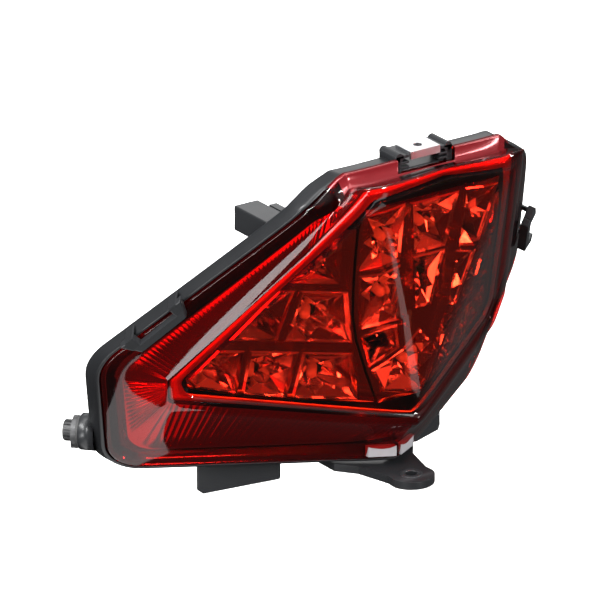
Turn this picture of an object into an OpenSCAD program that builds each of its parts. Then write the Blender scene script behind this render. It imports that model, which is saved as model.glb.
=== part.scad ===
/* [Lens face] */
// How far the wings sweep back for each millimetre outwards
wing_slope = 0.788; // [0.6:0.02:0.9]
// How far the face leans forwards for each millimetre up
face_lean = 0.17; // [0.1:0.01:0.22]
// How fast the two fold lines spread from the nose
fold_spread = 0.311; // [0.28:0.005:0.33]
// Height of the lens nose over the mounting tab
nose_z = 30; // [28:1:32]
// Place of the lens nose behind the tab hole
nose_y = -5; // [-7:0.5:-3]
// Wall of the lens, measured along Y
lens_wall = 3.2; // [2.6:0.1:3.6]

/* [Housing] */
// Depth of the housing behind its rim
tub_depth = 29; // [28:0.5:34]
// Width of the rim that shows round the lens
rim_w = 1.6; // [1.4:0.1:2]
// Thickness of the housing floor
floor_t = 2.5; // [2:0.1:3]

/* [Mounting] */
// Bore of the tab, for an M5 screw
tab_bore = 5.5; // [5.2:0.1:6]
// Thickness of the tab
tab_t = 4; // [3:0.5:5]
// End radius of the tab
tab_r = 10.8; // [9:0.2:12]
// Thread core of the clip nut, for an M5 screw
nut_core = 4.2; // [4:0.1:4.4]
// Length of the slot in each side loop
slot_len = 24; // [18:1:26]
// Width of the slot in each side loop
slot_w = 5; // [4.5:0.1:5.2]

/* [Lamps] */
// Depth of a reflector tray along Y
tray_depth = 14; // [10:0.5:15]
// Diameter of a light-emitting diode
led_d = 5; // [4:0.5:5]
// Thickness of a circuit board
board_t = 1.6; // [1:0.2:1.6]
// Bore for a side bulb holder
socket_bore = 10; // [9.6:0.1:10.4]
// Radial play of a side bulb holder in its bore
socket_play = 0.07; // [0.04:0.01:0.1]
// Angle of a side bulb holder in plan
socket_turn = 48; // [44:1:52]

/* [Hidden] */
$fn = 48;
eps = 0.01;

// Half outlines in front view: a start on the centre line, five corners as [x, z, radius], an end.
rim_outline = [[0, 158.5], [43, 157, 5], [61.5, 143, 14], [117.5, 53, 24], [103, -7, 16], [22, 1.2, 8], [0, 2.2]];
crest_outline = [[0, 159], [43, 156, 3], [57, 122, 60], [94, 46, 6], [91, 31, 5], [8, 25, 6], [0, 25.5]];
window_outline = [[0, 152], [36, 147, 3], [58, 103, 80], [86.5, 45, 6], [83, 38, 4], [10, 31, 5], [0, 30]];
border_outline = [[0, 151], [40.5, 150, 3], [57, 137, 14], [109, 51, 18], [97, 2, 13], [22, 9.5, 5], [0, 12.5]];
arc_steps = 4;
edge_steps = [4, 3, 7, 3, 7, 1];
pole_z = 92;

// Soft corner: about zero below the fold line, about t past it.
function soft(t, r) = (t + sqrt(t * t + r * r) - r) / 2;
function face_y(x, z) = nose_y - face_lean * (z - nose_z)
    + wing_slope * soft(abs(x) - fold_spread * (z - nose_z), 8);
rim_y0 = nose_y + 13.7;
rim_lean = 0.19;
rim_slope = 0.81;
// The rim steps back along the top, where the lens has its upright flange.
top_step = 10.5;
function rim_y(x, z) = rim_y0 - rim_lean * (z - nose_z) + rim_slope * soft(abs(x) - fold_spread * (z - 1), 12)
    + top_step / (1 + exp((146 - z) / 2));

// Rounded outline tools: heading to the right-hand side is inwards.
function xz(p) = [p[0], p[1]];
function unit(v) = v / norm(v);
function right_of(a, b) = let (d = unit(xz(b) - xz(a))) [d[1], -d[0]];
function inset_corner(o, i, d) = let (n1 = right_of(o[i - 1], o[i]), n2 = right_of(o[i], o[i + 1]),
    p = xz(o[i]) + d * (n1 + n2) / (1 + n1 * n2)) [p[0], p[1], max(o[i][2] - d, 1.5)];
function inset(o, d) = let (n = len(o) - 1) [for (i = [0 : n])
    i == 0 ? [0, o[0][1] + d / right_of(o[0], o[1])[1]] :
    i == n ? [0, o[n][1] + d / right_of(o[n - 1], o[n])[1]] : inset_corner(o, i, d)];
function tangent(o, i) = let (n1 = right_of(o[i - 1], o[i]), n2 = right_of(o[i], o[i + 1]))
    o[i][2] * norm(n1 - n2) / norm(n1 + n2);
function arc_start(o, i) = xz(o[i]) - tangent(o, i) * unit(xz(o[i]) - xz(o[i - 1]));
function arc_end(o, i) = xz(o[i]) + tangent(o, i) * unit(xz(o[i + 1]) - xz(o[i]));
function arc(o, i) = let (n1 = right_of(o[i - 1], o[i]), n2 = right_of(o[i], o[i + 1]),
    c = arc_start(o, i) + o[i][2] * n1, a1 = atan2(-n1[1], -n1[0]), turn = acos(min(1, n1 * n2)))
    [for (k = [0 : arc_steps]) c + o[i][2] * [cos(a1 - turn * k / arc_steps), sin(a1 - turn * k / arc_steps)]];
function between(a, b, n) = n < 2 ? [] : [for (k = [1 : n - 1]) a + (b - a) * k / n];
function half_loop(o) = let (n = len(o) - 1) concat([xz(o[0])],
    [for (i = [1 : n - 1]) each concat(
        between(i == 1 ? xz(o[0]) : arc_end(o, i - 1), arc_start(o, i), edge_steps[i - 1]), arc(o, i))],
    between(arc_end(o, n - 1), xz(o[n]), edge_steps[n - 1]), [xz(o[n])]);
function full_loop(o) = let (h = half_loop(o), n = len(h))
    concat(h, [for (i = [n - 2 : -1 : 1]) [-h[i][0], h[i][1]]]);
function shrink(loop, f) = [for (p = loop) [p[0] * f, pole_z + (p[1] - pole_z) * f]];
function on_face(loop, dy) = [for (p = loop) [p[0], face_y(p[0], p[1]) + dy, p[1]]];
function on_rim(loop, dy) = [for (p = loop) [p[0], rim_y(p[0], p[1]) + dy, p[1]]];
function flatten(rings) = [for (r = rings) each r];

// Triangles between one ring and the next.
function band(n, j0, j1) = [for (i = [0 : n - 1]) let (k = (i + 1) % n)
    each [[j0 * n + i, j1 * n + i, j0 * n + k], [j0 * n + k, j1 * n + i, j1 * n + k]]];

// Closed shell through a list of rings, from a front pole to a back pole.
module shell(front, rings, back) {
    n = len(rings[0]);
    m = len(rings);
    points = concat(flatten(rings), [front, back]);
    faces = concat([for (j = [0 : m - 2]) each band(n, j, j + 1)],
        [for (i = [0 : n - 1]) [n * m, i, (i + 1) % n]],
        [for (i = [0 : n - 1]) [n * m + 1, (m - 1) * n + (i + 1) % n, (m - 1) * n + i]]);
    polyhedron(points, faces);
}

// Closed ring through a list of rings that comes back to its start.
module hoop(rings) {
    n = len(rings[0]);
    m = len(rings);
    polyhedron(flatten(rings), [for (j = [0 : m - 1]) each band(n, j, (j + 1) % m)]);
}

// Flat planes of the three reflectors, at dy behind the lens face. Columns of the frame are u, v, depth.
centre_depth = unit([0, 1, face_lean]);
wing_depth = unit([-wing_slope, 1, face_lean + wing_slope * fold_spread]);
wing_u = unit(cross([0, 0, 1], wing_depth));
function plane_frame(n, u) = let (v = cross(n, u)) [[u[0], v[0], n[0], 0], [u[1], v[1], n[1], 0],
    [u[2], v[2], n[2], 0], [0, 0, 0, 1]];
wing_frame = plane_frame(wing_depth, wing_u);
centre_frame = plane_frame(centre_depth, [1, 0, 0]);
function wing_y(x, z) = nose_y - face_lean * (z - nose_z) + wing_slope * (x - fold_spread * (z - nose_z));
function centre_y(z) = nose_y - face_lean * (z - nose_z);
module on_wing(p, dy) translate([p[0], wing_y(p[0], p[1]) + dy, p[1]]) multmatrix(wing_frame) children();
module on_centre(p, dy) translate([p[0], centre_y(p[1]) + dy, p[1]]) multmatrix(centre_frame) children();
module wing_slab(dy, t) on_wing([0, nose_z], dy)
    translate([-200, -200, 0]) cube([400, 400, t * wing_depth[1]]);
module centre_slab(dy, t) on_centre([0, nose_z], dy)
    translate([-200, -200, 0]) cube([400, 400, t * centre_depth[1]]);
// Everything behind the lens face's three flat planes, moved back by dy.
module behind_face(dy) intersection() {
    on_centre([0, nose_z], dy) translate([-200, -200, 0]) cube([400, 400, 150]);
    behind_wings(dy);
}
module behind_wings(dy) intersection() {
    on_wing([0, nose_z], dy) translate([-200, -200, 0]) cube([400, 400, 150]);
    mirror([1, 0, 0]) on_wing([0, nose_z], dy) translate([-200, -200, 0]) cube([400, 400, 150]);
}
module folded_slab(dy, t) difference() {
    behind_face(dy);
    behind_face(dy + t);
}
module along_y(points) translate([0, 200, 0]) rotate([90, 0, 0]) linear_extrude(400) polygon(points);

// Reflector layout in front view, right-hand half.
tray_front = 6;
tray_floor = 1.6;
board_dy = tray_front + tray_depth + 1;
function fold_x(z, gap) = fold_spread * (z - nose_z) + gap;
// The rib that curves down between the wing trays and the middle tray, as [x, z].
rib_line = [[36.9, 130], [34.8, 113.6], [32.3, 96.8], [29.9, 82.9], [26, 69], [19.1, 50.9], [12.7, 35.7]];
rib_gap = 1;
function rib_side(gap) = [for (p = rib_line) [p[0] + gap, p[1]]];
function reversed(list) = [for (i = [len(list) - 1 : -1 : 0]) list[i]];
function mirrored(list) = [for (p = reversed(list)) [-p[0], p[1]]];
wing_edge = concat([[43.7, 130], [82.5, 45.5], [80, 39.5], [54, 34.5], [13.8, 34.5]],
    reversed(rib_side(rib_gap)));
middle_half = concat([[36.6, 141]], rib_side(0), [[12, 34]]);
middle_edge = concat(middle_half, mirrored(middle_half));
wing_cells = [
    [[39.5, 101], [56, 101], [43, 128]],
    [[35, 95], [50.5, 95], [51.5, 68], [28.5, 68]],
    [[53.5, 95], [58.5, 95], [70, 68], [54.5, 68]],
    [[27, 61], [43, 61], [42.5, 36], [20, 36]],
    [[46, 61], [62, 61], [60.5, 37.5], [45.5, 36]],
    [[65, 61], [73.5, 61], [80.5, 45], [78, 40.5], [63.5, 38]]];
half_cells = [
    [[17, 139.5], [35.5, 137.2], [33, 107.5], [16.3, 111]],
    [[15.8, 108], [31.6, 104], [26.2, 75.5], [13.8, 80.5]],
    [[13.8, 77], [24.3, 70.5], [18.8, 54.8], [10.8, 65.5]]];
vee_cells = [
    [[-12.5, 138.8], [12.5, 138.8], [8.6, 113], [-8.6, 113]],
    [[-8.2, 110.5], [8.2, 110.5], [4.2, 84], [-4.2, 84]]];
nose_cell = [[-8, 63.5], [0, 72], [8, 63.5], [17.2, 52], [11.5, 41], [-11.5, 41], [-17.2, 52]];
function middle(c) = [for (k = [0 : 1]) let (v = [for (p = c) p[k]]) (max(v) + min(v)) / 2];
wing_leds = [for (c = wing_cells) middle(c) - (len(c) == 3 ? [1.5, 5] : [0, 0])];
centre_leds = [[-20.5, 122], [20.5, 122], [-17.2, 93], [17.2, 93], [0, 125], [0, 55]];
wing_screws = [[45, 98], [53, 64.5]];
centre_screws = [[0, 78.5], [0, 37.5]];
screw_r = 1.2;
screw_len = 4;
// The boards are flat, so their thickness along the screws is less than along Y.
wing_board_t = board_t * wing_depth[1];
centre_board_t = board_t * centre_depth[1];

// Side bulb holders: place and axis, local z points out of the lamp.
socket_at = [107, 105, 10];
module at_socket(side) mirror([side < 0 ? 1 : 0, 0, 0])
    translate(socket_at) rotate([0, 0, socket_turn]) rotate([0, 90, 0]) children();
boss_r = 8.5;
boss_top = 1.5;
boss_wall = 4;
seal_t = 1.2;
bulb_r = 2.5;
lug_reach = 6.2;
blade_t = 0.6;

// Side loop frame: along the slanted rim, inwards over the lens, and into the lamp.
loop_at = [103, 82];
loop_depth = unit([-rim_slope, 1, rim_lean + rim_slope * fold_spread]);
loop_along = unit([53, rim_slope * 53 + (rim_lean + rim_slope * fold_spread) * 93, -93]);
loop_frame = plane_frame(loop_depth, loop_along);
loop_arm = 5;
loop_bar = 3.5;

module tab_plate() {
    translate([0, 0, -tab_t]) linear_extrude(tab_t) union() {
        circle(tab_r);
        polygon([[-tab_r + 0.6, 3], [-15, 20], [-22, 29], [-22, 46],
            [22, 46], [22, 29], [15, 20], [tab_r - 0.6, 3]]);
    }
}

module foot(side) mirror([side < 0 ? 1 : 0, 0, 0])
    translate([37, 50, 0]) rotate([0, 0, 37.5]) rotate([90, 0, 0])
        linear_extrude(3, center = true) polygon([[0, 4], [38, 4], [38, -17], [35, -19], [0, -11]]);

module rear_lug(side) mirror([side < 0 ? 1 : 0, 0, 0]) {
    translate([44, 32, 112]) cube([13, 26, 12]);
    translate([38, 18, 114]) cube([4, 34, 9]);
}

module side_loop(side) mirror([side < 0 ? 1 : 0, 0, 0])
    translate([loop_at[0], rim_y(loop_at[0], loop_at[1]), loop_at[1]]) multmatrix(loop_frame) {
        front = -6.4;
        back = -2.4;
        translate([-slot_len / 2 - loop_arm, slot_w + rim_w - 0.8, front])
            cube([slot_len + 2 * loop_arm, loop_bar, back - front]);
        for (s = [-1, 1]) translate([s * (slot_len + loop_arm) / 2 - loop_arm / 2, 0.6, front]) {
            cube([loop_arm, slot_w + rim_w, back - front]);
            cube([loop_arm, rim_w - 1.2, 10]);
        }
    }

connector_at = [0, 24.6, 78];
module connector_shell() difference() {
    translate(connector_at + [-13, 0, -8]) cube([26, 16, 16]);
    translate(connector_at + [-11, 5, -6]) cube([22, 14, 12]);
}

// Latch notch in the top wall, with its bar and the clip nut that sits on the bar.
notch_w = 31;
notch_z = 151.6;
bar_z = 157.4;
bar_t = 1.6;
bar_front = -9;
bar_depth = 13;
nut_r = 3.4;
module latch_notch() translate([-notch_w / 2, -14, notch_z]) cube([notch_w, 24, 12]);
module latch() {
    for (s = [-1, 1]) translate([s * (notch_w / 2 - 1.5) - 1.6, bar_front, notch_z - 1]) cube([3.2, bar_depth, 8]);
    translate([-notch_w / 2, bar_front, bar_z]) cube([notch_w, bar_depth, bar_t]);
    for (s = [-1, 1]) {
        translate([s * 13.2, bar_front, bar_z + 0.6]) rotate([-90, 0, 0]) cylinder(r = 2.2, h = bar_depth);
        for (z = [1, 3.2]) translate([s * 11.5 - 3.5, bar_front, notch_z + z]) cube([7, 4, 1]);
    }
}

// Vent boss, and how far out its cap starts.
vent_at = [26, 45, 58];
vent_r = 4;
vent_h = 16;
cap_start = 9;

module housing() color("#161617") union() {
    outer = rim_outline;
    difference() {
        union() {
            shell([0, rim_y(0, pole_z) + tub_depth - floor_t, pole_z], [
                on_rim(full_loop(inset(outer, 28)), tub_depth - floor_t),
                on_rim(full_loop(inset(outer, 16.5)), tub_depth - floor_t - 4),
                on_rim(full_loop(inset(outer, 7.5)), 10),
                on_rim(full_loop(inset(outer, 9)), 4),
                on_rim(full_loop(inset(outer, 9)), 1.5),
                on_rim(full_loop(inset(outer, rim_w - 0.2)), 1.5),
                on_rim(full_loop(inset(outer, rim_w - 0.2)), -1),
                on_rim(full_loop(outer), -1),
                on_rim(full_loop(outer), 8),
                on_rim(full_loop(inset(outer, 4)), 13),
                on_rim(full_loop(inset(outer, 14)), tub_depth - 5),
                on_rim(full_loop(inset(outer, 26)), tub_depth)],
                [0, rim_y(0, pole_z) + tub_depth, pole_z]);
            tab_plate();
            for (s = [-1, 1]) {
                foot(s);
                rear_lug(s);
                side_loop(s);
                at_socket(s) translate([0, 0, -6]) cylinder(r = boss_r, h = 6 + boss_top);
            }
            connector_shell();
            translate(vent_at) rotate([-90, 0, 0]) cylinder(r = vent_r, h = vent_h);
        }
        translate([0, 0, -tab_t - 1]) cylinder(d = tab_bore, h = tab_t + 5);
        translate([-13.2, 10, 6.6]) cube([26.4, 17, 5.8]);
        latch_notch();
        for (s = [-1, 1]) at_socket(s) {
            translate([0, 0, -12]) cylinder(d = socket_bore, h = 12 + boss_top + 1);
            translate([0, 0, -16]) cylinder(r = 6.6, h = 16 + boss_top - boss_wall);
            rotate([0, 0, 45 * s]) translate([-6.5, -1.5, -3]) cube([13, 3, 6]);
        }
    }
    difference() {
        latch();
        translate([0, bar_front + 5, bar_z - 2]) cylinder(r = nut_r + 0.2, h = 6);
    }
}

module lens() color("#b3121a") {
    outer = inset(rim_outline, rim_w + 0.2);
    w = full_loop(window_outline);
    inner_w = full_loop(inset(window_outline, 0.5));
    difference() {
        union() {
            shell([0, face_y(0, pole_z), pole_z], [
                on_face(shrink(w, 0.2), 0), on_face(shrink(w, 0.4), 0), on_face(shrink(w, 0.6), 0),
                on_face(shrink(w, 0.8), 0), on_face(w, 0),
                on_face(full_loop(crest_outline), 0),
                on_rim(full_loop(border_outline), -2.2),
                on_rim(full_loop(outer), -2.2),
                on_rim(full_loop(outer), 0.3),
                on_rim(full_loop(inset(border_outline, 2.2)), 0.3),
                on_face(full_loop(inset(crest_outline, 2.4)), lens_wall),
                on_face(inner_w, lens_wall),
                on_face(shrink(inner_w, 0.8), lens_wall), on_face(shrink(inner_w, 0.6), lens_wall),
                on_face(shrink(inner_w, 0.4), lens_wall), on_face(shrink(inner_w, 0.2), lens_wall)],
                [0, face_y(0, pole_z) + lens_wall, pole_z]);
        }
        licence_panes();
        latch_notch();
    }
}

// The bead stops below the step in the rim, where the lens is welded on.
seal_top = 138;
module lens_seal() color("#202020") difference() {
    a = full_loop(inset(rim_outline, rim_w + 0.5));
    b = full_loop(inset(rim_outline, rim_w + 2.5));
    hoop([on_rim(b, 0.45), on_rim(b, 1.3), on_rim(a, 1.3), on_rim(a, 0.45)]);
    translate([-100, -50, seal_top]) cube([200, 100, 40]);
}

module licence_panes() for (s = [0, 1]) mirror([s, 0, 0])
    translate([0, 0, 5.2]) linear_extrude(5.2)
        polygon([[1.2, 8.5], [12.5, 14.5], [12.5, 19.6], [1.2, 13.6]]);

module licence_window() color("#e8e8e8") for (s = [0, 1]) mirror([s, 0, 0])
    translate([0, 0, 5.2]) linear_extrude(5.2)
        polygon([[1.2, 9.6], [12.5, 15.6], [12.5, 18], [1.2, 12]]);

module bezel() color("#c7391f") {
    a = full_loop(inset(crest_outline, 4.2));
    b = full_loop(inset(window_outline, 0.4));
    hoop([on_face(a, 4.6), on_face(b, 4.6), on_face(b, 6.1), on_face(a, 6.1)]);
}

module led_hole() translate([0, 0, -9]) cylinder(d = led_d + 0.6, h = 12);
module screw_hole(r) translate([0, 0, -screw_len - 1]) cylinder(r = r, h = screw_len + 6);

module wing_tray() difference() {
    intersection() {
        along_y(wing_edge);
        wing_slab(tray_front, tray_depth);
    }
    for (c = wing_cells) intersection() {
        along_y(c);
        wing_slab(tray_front - 2, tray_depth + 2 - tray_floor);
    }
    for (p = wing_leds) on_wing(p, board_dy) led_hole();
    for (p = wing_screws) on_wing(p, board_dy) screw_hole(screw_r);
}

module reflector_left() color("#d9d4d2") mirror([1, 0, 0]) wing_tray();
module reflector_right() color("#d9d4d2") wing_tray();

module reflector_centre() color("#d9d4d2") difference() {
    intersection() {
        along_y(middle_edge);
        folded_slab(tray_front, tray_depth);
    }
    for (c = concat(half_cells, [for (h = half_cells) mirrored(h)], vee_cells, [nose_cell]))
        intersection() {
            along_y(c);
            folded_slab(tray_front - 2, tray_depth + 2 - tray_floor);
        }
    for (p = centre_leds) on_centre(p, board_dy) led_hole();
    for (p = centre_screws) on_centre(p, board_dy) screw_hole(screw_r);
}

wing_board_edge = [[fold_x(126, 12), 126], [43, 126], [78, 50], [76, 41], [fold_x(37, 12), 37]];
module wing_board() difference() {
    intersection() {
        along_y(wing_board_edge);
        wing_slab(board_dy, board_t);
    }
    for (p = wing_screws) on_wing(p, board_dy) screw_hole(screw_r + 0.2);
}
module board_left() color("#0b5a35") mirror([1, 0, 0]) wing_board();
module board_right() color("#0b5a35") wing_board();
module board_centre() color("#0b5a35") difference() {
    intersection() {
        along_y([[-fold_x(138, -1), 138], [fold_x(138, -1), 138],
            [fold_x(35, -0.2), 35], [-fold_x(35, -0.2), 35]]);
        centre_slab(board_dy, board_t);
    }
    for (p = centre_screws) on_centre(p, board_dy) screw_hole(screw_r + 0.2);
}

module led() {
    translate([0, 0, -5]) cylinder(d = led_d, h = 5);
    translate([0, 0, -5]) sphere(d = led_d);
}
module leds_left() color("#f4e2c0") mirror([1, 0, 0]) for (p = wing_leds) on_wing(p, board_dy) led();
module leds_right() color("#f4e2c0") for (p = wing_leds) on_wing(p, board_dy) led();
module leds_centre() color("#f4e2c0") for (p = centre_leds) on_centre(p, board_dy) led();

module screw(thickness) {
    translate([0, 0, thickness]) cylinder(r = 2.5, h = 1.8);
    translate([0, 0, -screw_len]) cylinder(r = screw_r, h = screw_len + thickness + eps);
}
module board_screws() color("#9a9a9e") {
    for (s = [0, 1]) mirror([s, 0, 0]) for (p = wing_screws) on_wing(p, board_dy) screw(wing_board_t);
    for (p = centre_screws) on_centre(p, board_dy) screw(centre_board_t);
}

module licence_board() color("#0b5a35") translate([-11, 24, 7.6]) cube([22, 1.2, 4.2]);
module licence_leds() color("#f6f0d0") for (s = [-1, 1])
    translate([s * 6 - 1.75, 22.6, 8.2]) cube([3.5, 1.4, 3]);

module connector_pins() color("#c9a24a") for (k = [-1.5 : 1 : 1.5])
    translate(connector_at + [k * 4.5 - 0.4, 5, -0.9]) cube([0.8, 9, 1.8]);

module clip_nut() color("#b9bcc0") difference() {
    union() {
        translate([-8, bar_front - 1.2, bar_z + bar_t]) cube([16, 12, 1.2]);
        translate([-8, bar_front - 1.2, bar_z - 0.8]) cube([16, 1.2, bar_t + 2]);
        translate([0, bar_front + 5, bar_z - 1]) cylinder(r = nut_r, h = bar_t + 1 + eps);
    }
    translate([0, bar_front + 5, bar_z - 2]) cylinder(d = nut_core, h = 8);
}

module breather_cap() color("#1f1f20") translate(vent_at) rotate([-90, 0, 0]) difference() {
    translate([0, 0, cap_start]) cylinder(r = 5.6, h = vent_h + 1.5 - cap_start);
    translate([0, 0, cap_start - 1]) cylinder(r = vent_r, h = vent_h + 1 - cap_start);
}

module socket(side) at_socket(side) difference() {
    union() {
        translate([0, 0, boss_top + seal_t]) cylinder(r = 7.2, h = 2.2);
        translate([0, 0, boss_top + seal_t]) cylinder(r = 4.4, h = 6.6);
        for (k = [0 : 11]) rotate([0, 0, k * 30]) translate([3.8, -0.5, boss_top + seal_t]) cube([1.2, 1, 6.2]);
        translate([5.4, -1.2, boss_top + seal_t]) cube([2.8, 2.4, 3.6]);
        translate([0, 0, -9]) cylinder(r = socket_bore / 2 - socket_play, h = 9 + boss_top + seal_t);
        translate([-lug_reach, -1.2, -4.4]) cube([2 * lug_reach, 2.4, 1.6]);
    }
    translate([0, 0, -10]) cylinder(r = bulb_r, h = 7);
    for (s = [-1, 1]) translate([s * 1.8 - blade_t / 2, -1.2, -3 - eps]) cube([blade_t, 2.4, 13]);
}
module socket_seal(side) at_socket(side) translate([0, 0, boss_top]) difference() {
    cylinder(r = 7, h = seal_t);
    translate([0, 0, -1]) cylinder(r = socket_bore / 2 - socket_play, h = 4);
}
module bulb(side) at_socket(side) {
    translate([0, 0, -17]) cylinder(r = bulb_r, h = 14);
    translate([0, 0, -17]) sphere(r = bulb_r);
}
module contacts(side) at_socket(side)
    for (s = [-1, 1]) translate([s * 1.8 - blade_t / 2, -1.2, -3]) cube([blade_t, 2.4, 11]);

module left_socket() color("#1c1c1d") socket(-1);
module left_socket_seal() color("#2a2a2a") socket_seal(-1);
module left_bulb() color("#f3efe4") bulb(-1);
module left_contacts() color("#c9a24a") contacts(-1);
module right_socket() color("#1c1c1d") socket(1);
module right_socket_seal() color("#2a2a2a") socket_seal(1);
module right_bulb() color("#f3efe4") bulb(1);
module right_contacts() color("#c9a24a") contacts(1);

housing();
lens();
lens_seal();
licence_window();
bezel();
reflector_left();
reflector_right();
reflector_centre();
board_left();
board_right();
board_centre();
leds_left();
leds_right();
leds_centre();
board_screws();
licence_board();
licence_leds();
connector_pins();
clip_nut();
breather_cap();
left_socket();
left_socket_seal();
left_bulb();
left_contacts();
right_socket();
right_socket_seal();
right_bulb();
right_contacts();
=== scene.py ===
import math
import random

import bmesh
import bpy
from mathutils import Matrix, Vector
from mathutils.geometry import tessellate_polygon


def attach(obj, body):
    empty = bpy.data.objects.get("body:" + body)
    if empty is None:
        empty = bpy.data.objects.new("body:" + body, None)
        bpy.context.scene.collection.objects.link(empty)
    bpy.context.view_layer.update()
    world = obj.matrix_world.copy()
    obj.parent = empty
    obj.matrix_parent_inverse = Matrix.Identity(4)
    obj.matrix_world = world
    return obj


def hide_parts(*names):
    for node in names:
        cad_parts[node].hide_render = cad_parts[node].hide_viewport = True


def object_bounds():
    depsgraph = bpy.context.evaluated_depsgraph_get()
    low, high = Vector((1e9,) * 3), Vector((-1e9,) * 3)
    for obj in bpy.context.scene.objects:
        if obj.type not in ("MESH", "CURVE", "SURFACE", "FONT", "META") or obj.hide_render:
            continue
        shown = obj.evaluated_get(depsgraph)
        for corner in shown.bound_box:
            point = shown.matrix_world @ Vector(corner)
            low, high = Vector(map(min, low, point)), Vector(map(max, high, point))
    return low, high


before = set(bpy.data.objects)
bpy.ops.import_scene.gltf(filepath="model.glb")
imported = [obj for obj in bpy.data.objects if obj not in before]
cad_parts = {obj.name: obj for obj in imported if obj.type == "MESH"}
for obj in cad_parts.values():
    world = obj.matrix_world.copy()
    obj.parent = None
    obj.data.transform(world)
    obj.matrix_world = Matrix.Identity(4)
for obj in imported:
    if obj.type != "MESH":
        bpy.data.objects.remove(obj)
cad_low, cad_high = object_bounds()
MM = 0.001


# ---- Studio -------------------------------------------------------------------------------------
# A pale, faintly lit table under the lamp, a long soft box high on the left for the ridge of the
# lens, a large one overhead, and narrow ones that give the reflector facets something to find.
bpy.ops.mesh.primitive_plane_add(size=30, location=(0, 0, cad_low.z - 0.012))
table = bpy.context.object
table.name = "studio_table"
paper = bpy.data.materials.new("studio_paper")
paper.use_nodes = True
paper_bsdf = paper.node_tree.nodes["Principled BSDF"]
paper_bsdf.inputs["Base Color"].default_value = (0.94, 0.94, 0.94, 1)
paper_bsdf.inputs["Roughness"].default_value = 0.9
paper_bsdf.inputs["Specular IOR Level"].default_value = 0.1
paper_bsdf.inputs["Emission Color"].default_value = (1, 1, 1, 1)
paper_bsdf.inputs["Emission Strength"].default_value = 0.55
table.data.materials.append(paper)
table.visible_glossy = table.visible_diffuse = False

scene = bpy.context.scene
scene.view_settings.view_transform = "Standard"
sky = bpy.data.worlds.new("studio_air")
scene.world = sky
sky.use_nodes = True
air = sky.node_tree
direction = air.nodes.new("ShaderNodeTexCoord")
direction.label, direction.location = "direction into the room", (-800, 0)
height = air.nodes.new("ShaderNodeSeparateXYZ")
height.label, height.location = "height in the room", (-600, 0)
room = air.nodes.new("ShaderNodeValToRGB")
room.label, room.location = "dim walls, bright ceiling", (-400, 0)
room.color_ramp.elements[0].position, room.color_ramp.elements[0].color = 0.15, (0.10, 0.10, 0.10, 1)
room.color_ramp.elements[1].position, room.color_ramp.elements[1].color = 0.75, (1, 1, 1, 1)
air.links.new(direction.outputs["Generated"], height.inputs["Vector"])
air.links.new(height.outputs["Z"], room.inputs["Fac"])
air.links.new(room.outputs["Color"], air.nodes["Background"].inputs["Color"])
air.nodes["Background"].inputs["Strength"].default_value = 0.62

aim = Vector((-32.4, 41.1, 78.0)) * MM
camera_azimuth, camera_elevation = math.radians(-35), math.radians(22)
camera_distance = 5.0
view_width = 0.270


def from_aim(azimuth, elevation, distance):
    out = Vector((math.sin(azimuth) * math.cos(elevation),
                  -math.cos(azimuth) * math.cos(elevation), math.sin(elevation)))
    return aim + out * distance


camera_data = bpy.data.cameras.new("camera")
camera_data.sensor_width = 36
camera_data.lens = 36 * camera_distance / view_width
camera = bpy.data.objects.new("camera", camera_data)
scene.collection.objects.link(camera)
camera.location = from_aim(camera_azimuth, camera_elevation, camera_distance)
camera.rotation_euler = (aim - camera.location).to_track_quat("-Z", "Y").to_euler()
scene.camera = camera

soft_boxes = {
    # name: (azimuth, elevation, distance, width, height, power)
    "left_box": (-88, 42, 1.1, 1.0, 0.2, 26),
    "back_box": (148, 24, 1.3, 0.6, 0.3, 1.4),
    "overhead_box": (-40, 84, 1.7, 1.5, 1.5, 36),
    "front_box": (2, 24, 1.3, 0.16, 0.26, 15),
    "right_strip": (55, 20, 1.1, 0.08, 0.8, 11),
    "low_front_strip": (-60, -4, 1.2, 0.5, 0.10, 9),
}
for name, (azimuth, elevation, distance, width, tall, power) in soft_boxes.items():
    light = bpy.data.lights.new(name, "AREA")
    light.shape = "RECTANGLE"
    light.size, light.size_y, light.energy = width, tall, power
    box = bpy.data.objects.new(name, light)
    scene.collection.objects.link(box)
    box.location = from_aim(math.radians(azimuth), math.radians(elevation), distance)
    box.rotation_euler = (aim - box.location).to_track_quat("-Z", "Y").to_euler()

# White cards lie on the table, and only the reflections in the lens find them.
bounce_cards = {
    # name: (x, y, width, depth, brightness), all lying on the table
    "ridge_card": (-0.36, -0.05, 0.20, 0.30, 7.0),
    "nose_card": (0.010, -0.115, 0.028, 0.10, 1.6),
    "wing_card": (-0.118, 0.070, 0.042, 0.075, 2.0),
}
for name, (x, y, width, deep, brightness) in bounce_cards.items():
    bpy.ops.mesh.primitive_plane_add(size=1, location=(x, y, cad_low.z - 0.009))
    card = bpy.context.object
    card.name = name
    card.scale = (width, deep, 1)
    card.visible_camera = card.visible_diffuse = card.visible_shadow = False
    glow = bpy.data.materials.new(name)
    glow.use_nodes = True
    glow.node_tree.nodes.clear()
    lamp = glow.node_tree.nodes.new("ShaderNodeEmission")
    lamp.label, lamp.location = "white card", (0, 0)
    lamp.inputs["Strength"].default_value = brightness
    card_out = glow.node_tree.nodes.new("ShaderNodeOutputMaterial")
    card_out.label, card_out.location = "surface", (200, 0)
    glow.node_tree.links.new(lamp.outputs["Emission"], card_out.inputs["Surface"])
    card.data.materials.append(glow)


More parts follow.
